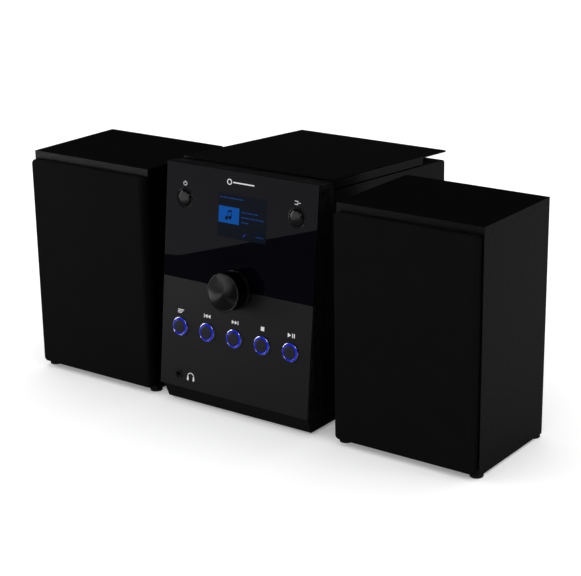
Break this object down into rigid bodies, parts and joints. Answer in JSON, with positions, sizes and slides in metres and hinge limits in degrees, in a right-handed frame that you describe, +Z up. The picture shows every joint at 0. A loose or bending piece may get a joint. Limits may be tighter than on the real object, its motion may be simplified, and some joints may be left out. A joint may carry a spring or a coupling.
{
  "type": "mini hifi system",
  "caption": "Mini hifi system: a main unit with a leaning front, display, keys, volume knob and top disc lid, with two bookshelf speakers that have pull-off cloth grilles.",
  "frame": {"origin": "centre of the footprint on the shelf, midway between the speakers", "axes": "+Z up, front faces -Y, +X to the right as seen from behind the front"},
  "size_m": [0.5034, 0.247, 0.2312],
  "materials": {
    "base_plastic": "fine moulded black plastic",
    "body_plastic": "satin black moulded plastic",
    "panel_plastic": "textured black rear panel",
    "deck_plastic": "satin black deck plastic",
    "gloss_black": "piano black",
    "window": "smoked gloss window, opaque at rest",
    "satin_plate": "satin dark grey control plate",
    "display": "lit blue graphic display",
    "circuit_board": "green solder mask",
    "bare_aluminium": "bare aluminium",
    "transformer_core": "varnished core and winding",
    "socket_plastic": "black socket moulding",
    "polished_metal": "polished ring",
    "blue_light": "lit blue light ring",
    "foot_rubber": "soft black rubber",
    "screw_steel": "plated steel",
    "spun_metal": "dark anodised, spun face and polished side",
    "button_cap": "dark satin cap",
    "lid_gloss": "polished black lid",
    "clamp_plastic": "grey engineering plastic",
    "lever_black": "black spring lever",
    "lever_red": "red spring lever",
    "cabinet_vinyl": "black grained vinyl on board",
    "grille_cloth": "black woven speaker cloth on a frame",
    "basket_metal": "black pressed basket and magnet",
    "cone_paper": "grey pulp cone with rubber surround",
    "tweeter_plastic": "tweeter plate and dome"
  },
  "bodies": {
    "main_unit": {"base_tray": "base_plastic", "body_shell": "body_plastic", "rear_panel": "panel_plastic", "top_deck": "deck_plastic", "fascia_frame": "gloss_black", "upper_window": "window", "lower_plate": "satin_plate", "display_module": "display", "front_board": "circuit_board", "main_board": "circuit_board", "heat_sink": "bare_aluminium", "transformer": "transformer_core", "headphone_jack": "socket_plastic", "button_rings": "polished_metal", "ring_lights": "blue_light", "unit_feet": "foot_rubber", "case_screws": "screw_steel", "rear_sockets": "socket_plastic", "speaker_terminals": "socket_plastic", "hinge_pins": "screw_steel", "cd_chassis": "deck_plastic", "guide_rods": "screw_steel", "cd_motors": "bare_aluminium"},
    "knob": {"volume_knob": "spun_metal"},
    "power_key": {"power_button": "gloss_black"},
    "mode_key": {"mode_button": "gloss_black"},
    "menu_key": {"menu_button": "button_cap"},
    "previous_key": {"previous_button": "button_cap"},
    "next_key": {"next_button": "button_cap"},
    "stop_key": {"stop_button": "button_cap"},
    "play_key": {"play_button": "button_cap"},
    "lid": {"lid_plate": "lid_gloss", "lid_frame": "body_plastic"},
    "clamp": {"disc_clamp": "clamp_plastic"},
    "spindle": {"turntable": "deck_plastic"},
    "sled": {"pickup_sled": "clamp_plastic"},
    "leadscrew": {"sled_screw": "screw_steel"},
    "unit_clip_1": {"unit_lever_1": "lever_black"},
    "unit_clip_2": {"unit_lever_2": "lever_red"},
    "unit_clip_3": {"unit_lever_3": "lever_black"},
    "unit_clip_4": {"unit_lever_4": "lever_red"},
    "left_speaker": {"left_cabinet": "cabinet_vinyl", "left_woofer_frame": "basket_metal", "left_tweeter": "tweeter_plastic", "left_terminal_cup": "socket_plastic", "left_feet": "foot_rubber"},
    "left_grille_body": {"left_grille": "grille_cloth"},
    "left_cone": {"left_woofer_cone": "cone_paper"},
    "left_clip_black": {"left_lever_black": "lever_black"},
    "left_clip_red": {"left_lever_red": "lever_red"},
    "right_speaker": {"right_cabinet": "cabinet_vinyl", "right_woofer_frame": "basket_metal", "right_tweeter": "tweeter_plastic", "right_terminal_cup": "socket_plastic", "right_feet": "foot_rubber"},
    "right_grille_body": {"right_grille": "grille_cloth"},
    "right_cone": {"right_woofer_cone": "cone_paper"},
    "right_clip_black": {"right_lever_black": "lever_black"},
    "right_clip_red": {"right_lever_red": "lever_red"}
  },
  "joints": [
    {"name": "volume_turn", "type": "hinge", "parent": "main_unit", "child": "knob", "pos_m": [-0.00475, -0.10108, 0.12358], "axis": [0, -0.9942, 0.108], "continuous": true},
    {"name": "power_press", "type": "slide", "parent": "main_unit", "child": "power_key", "axis": [0, 0.9942, -0.108], "range_m": [0, 0.0008], "stiffness_N_per_m": 900},
    {"name": "mode_press", "type": "slide", "parent": "main_unit", "child": "mode_key", "axis": [0, 0.9942, -0.108], "range_m": [0, 0.0008], "stiffness_N_per_m": 900},
    {"name": "menu_press", "type": "slide", "parent": "main_unit", "child": "menu_key", "axis": [0, 0.9942, -0.108], "range_m": [0, 0.0008], "stiffness_N_per_m": 900},
    {"name": "previous_press", "type": "slide", "parent": "main_unit", "child": "previous_key", "axis": [0, 0.9942, -0.108], "range_m": [0, 0.0008], "stiffness_N_per_m": 900},
    {"name": "next_press", "type": "slide", "parent": "main_unit", "child": "next_key", "axis": [0, 0.9942, -0.108], "range_m": [0, 0.0008], "stiffness_N_per_m": 900},
    {"name": "stop_press", "type": "slide", "parent": "main_unit", "child": "stop_key", "axis": [0, 0.9942, -0.108], "range_m": [0, 0.0008], "stiffness_N_per_m": 900},
    {"name": "play_press", "type": "slide", "parent": "main_unit", "child": "play_key", "axis": [0, 0.9942, -0.108], "range_m": [0, 0.0008], "stiffness_N_per_m": 900},
    {"name": "lid_open", "type": "hinge", "parent": "main_unit", "child": "lid", "pos_m": [-0.00475, 0.11934, 0.21441], "axis": [-1, 0, 0], "range_deg": [0, 62]},
    {"name": "clamp_spin", "type": "hinge", "parent": "lid", "child": "clamp", "pos_m": [-0.00475, 0.00796, 0.21542], "axis": [0, 0.0593, 0.9982], "continuous": true},
    {"name": "disc_spin", "type": "hinge", "parent": "main_unit", "child": "spindle", "pos_m": [-0.00475, 0.00773, 0.21142], "axis": [0, 0.0593, 0.9982], "continuous": true},
    {"name": "sled_travel", "type": "slide", "parent": "main_unit", "child": "sled", "axis": [1, 0, 0], "range_m": [0, 0.033]},
    {"name": "screw_turn", "type": "hinge", "parent": "main_unit", "child": "leadscrew", "pos_m": [-0.00475, -0.00587, 0.20181], "axis": [1, 0, 0], "range_deg": [-1, 3961]},
    {"name": "unit_clip_1_press", "type": "hinge", "parent": "main_unit", "child": "unit_clip_1", "pos_m": [0.01025, 0.1175, 0.174], "axis": [-1, 0, 0], "range_deg": [0, 25], "stiffness_Nm_per_rad": 0.05},
    {"name": "unit_clip_2_press", "type": "hinge", "parent": "main_unit", "child": "unit_clip_2", "pos_m": [0.02025, 0.1175, 0.174], "axis": [-1, 0, 0], "range_deg": [0, 25], "stiffness_Nm_per_rad": 0.05},
    {"name": "unit_clip_3_press", "type": "hinge", "parent": "main_unit", "child": "unit_clip_3", "pos_m": [0.03025, 0.1175, 0.174], "axis": [-1, 0, 0], "range_deg": [0, 25], "stiffness_Nm_per_rad": 0.05},
    {"name": "unit_clip_4_press", "type": "hinge", "parent": "main_unit", "child": "unit_clip_4", "pos_m": [0.04025, 0.1175, 0.174], "axis": [-1, 0, 0], "range_deg": [0, 25], "stiffness_Nm_per_rad": 0.05},
    {"name": "left_speaker_place", "type": "slide", "parent": "main_unit", "child": "left_speaker", "axis": [-1, 0, 0], "range_m": [-0.01, 0.3]},
    {"name": "left_grille_pull", "type": "slide", "parent": "left_speaker", "child": "left_grille_body", "axis": [0, -1, 0], "range_m": [0, 0.04]},
    {"name": "left_cone_move", "type": "slide", "parent": "left_speaker", "child": "left_cone", "axis": [0, -1, 0], "range_m": [-0.002, 0.002], "stiffness_N_per_m": 1500},
    {"name": "left_clip_black_press", "type": "hinge", "parent": "left_speaker", "child": "left_clip_black", "pos_m": [-0.18375, 0.0075, 0.1225], "axis": [-1, 0, 0], "range_deg": [0, 25], "stiffness_Nm_per_rad": 0.05},
    {"name": "left_clip_red_press", "type": "hinge", "parent": "left_speaker", "child": "left_clip_red", "pos_m": [-0.17375, 0.0075, 0.1225], "axis": [-1, 0, 0], "range_deg": [0, 25], "stiffness_Nm_per_rad": 0.05},
    {"name": "right_speaker_place", "type": "slide", "parent": "main_unit", "child": "right_speaker", "axis": [1, 0, 0], "range_m": [-0.01, 0.3]},
    {"name": "right_grille_pull", "type": "slide", "parent": "right_speaker", "child": "right_grille_body", "axis": [0, -1, 0], "range_m": [0, 0.04]},
    {"name": "right_cone_move", "type": "slide", "parent": "right_speaker", "child": "right_cone", "axis": [0, -1, 0], "range_m": [-0.002, 0.002], "stiffness_N_per_m": 1500},
    {"name": "right_clip_black_press", "type": "hinge", "parent": "right_speaker", "child": "right_clip_black", "pos_m": [0.17375, 0.0075, 0.1225], "axis": [-1, 0, 0], "range_deg": [0, 25], "stiffness_Nm_per_rad": 0.05},
    {"name": "right_clip_red_press", "type": "hinge", "parent": "right_speaker", "child": "right_clip_red", "pos_m": [0.18375, 0.0075, 0.1225], "axis": [-1, 0, 0], "range_deg": [0, 25], "stiffness_Nm_per_rad": 0.05}
  ],
  "couplings": [
    {"joint": "screw_turn", "follows": "sled_travel", "rad_per_m": 2094.4}
  ]
}
